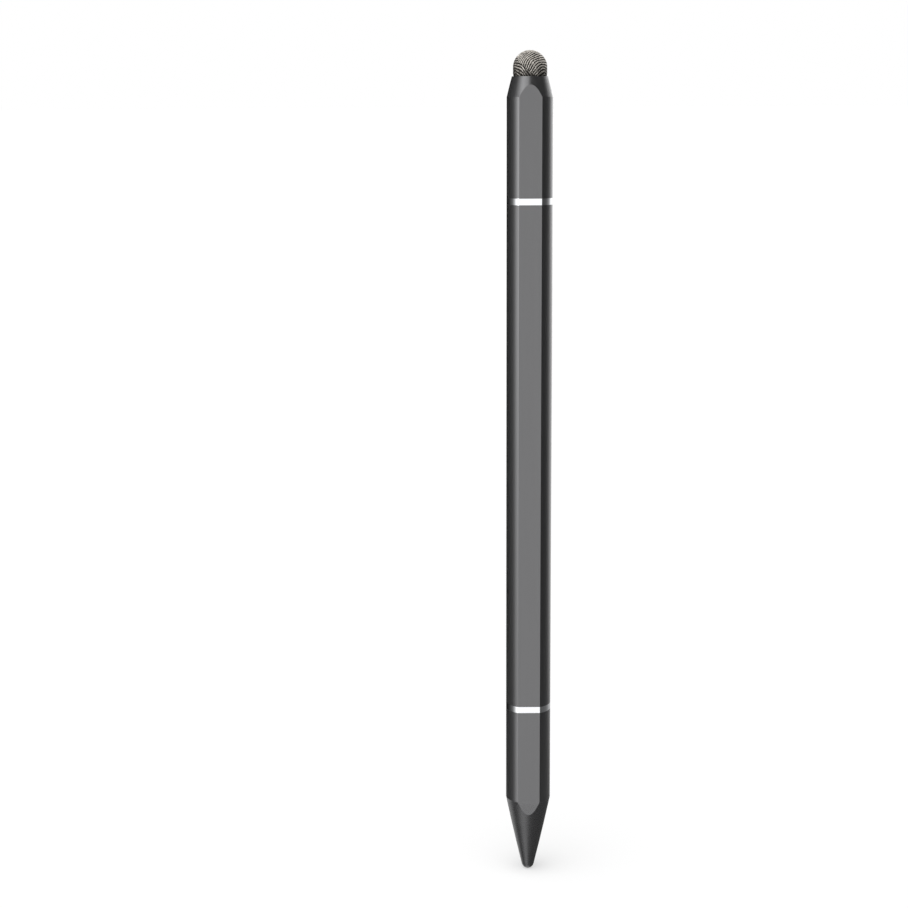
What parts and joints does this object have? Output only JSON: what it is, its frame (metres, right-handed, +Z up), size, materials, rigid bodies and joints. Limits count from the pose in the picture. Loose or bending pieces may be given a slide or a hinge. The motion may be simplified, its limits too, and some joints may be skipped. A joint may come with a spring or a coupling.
{
  "type": "stylus pen",
  "caption": "Slim two-ended touchscreen stylus: round barrel with one long flat, chrome seam rings, a tapered nib at the foot and a round knitted-mesh tip on top.",
  "frame": {"origin": "on the pen's axis, at the middle of the front section, where a hand holds it", "axes": "+Z up the pen from the nib to the mesh tip, -Y square out of the long flat, +X to the right when looking at the flat"},
  "size_m": [0.009, 0.0084, 0.1659],
  "materials": {
    "body_finish": "dark grey satin-gloss coating on drawn aluminium",
    "nib_plastic": "satin moulded conductive plastic, near black",
    "ring_chrome": "bright chrome plate",
    "turned_brass": "turned, unlacquered",
    "band_steel": "rolled strip",
    "seal_rubber": "moulded, matt",
    "core_rubber": "soft conductive silicone",
    "knit_mesh": "knitted metallised yarn, warm grey"
  },
  "bodies": {
    "front_head": {"nib": "nib_plastic", "nib_core": "turned_brass", "front_shell": "body_finish", "front_connector": "turned_brass", "lower_ring": "ring_chrome"},
    "front_seal": {"front_o_ring": "seal_rubber"},
    "barrel": {"barrel_tube": "body_finish", "lower_insert": "turned_brass", "upper_insert": "turned_brass"},
    "tail_seal": {"tail_o_ring": "seal_rubber"},
    "tail_head": {"upper_ring": "ring_chrome", "tail_connector": "turned_brass", "tail_shell": "body_finish", "mesh_holder": "turned_brass", "crimp_band": "band_steel", "mesh_core": "core_rubber", "mesh_cover": "knit_mesh"}
  },
  "joints": [
    {"name": "barrel_turn", "type": "hinge", "parent": "front_head", "child": "front_seal", "pos_m": [0, 0, 0.01075], "axis": [0, 0, 1], "range_deg": [0, 3240]},
    {"name": "barrel_rise", "type": "slide", "parent": "front_seal", "child": "barrel", "axis": [0, 0, 1], "range_m": [0, 0.00613]},
    {"name": "tail_rise", "type": "slide", "parent": "barrel", "child": "tail_seal", "axis": [0, 0, 1], "range_m": [0, 0.00613]},
    {"name": "tail_turn", "type": "hinge", "parent": "tail_seal", "child": "tail_head", "pos_m": [0, 0, 0.11135], "axis": [0, 0, 1], "range_deg": [0, 3240]}
  ],
  "couplings": [
    {"joint": "barrel_turn", "follows": "barrel_rise", "rad_per_m": 8976},
    {"joint": "tail_turn", "follows": "tail_rise", "rad_per_m": 8976}
  ]
}
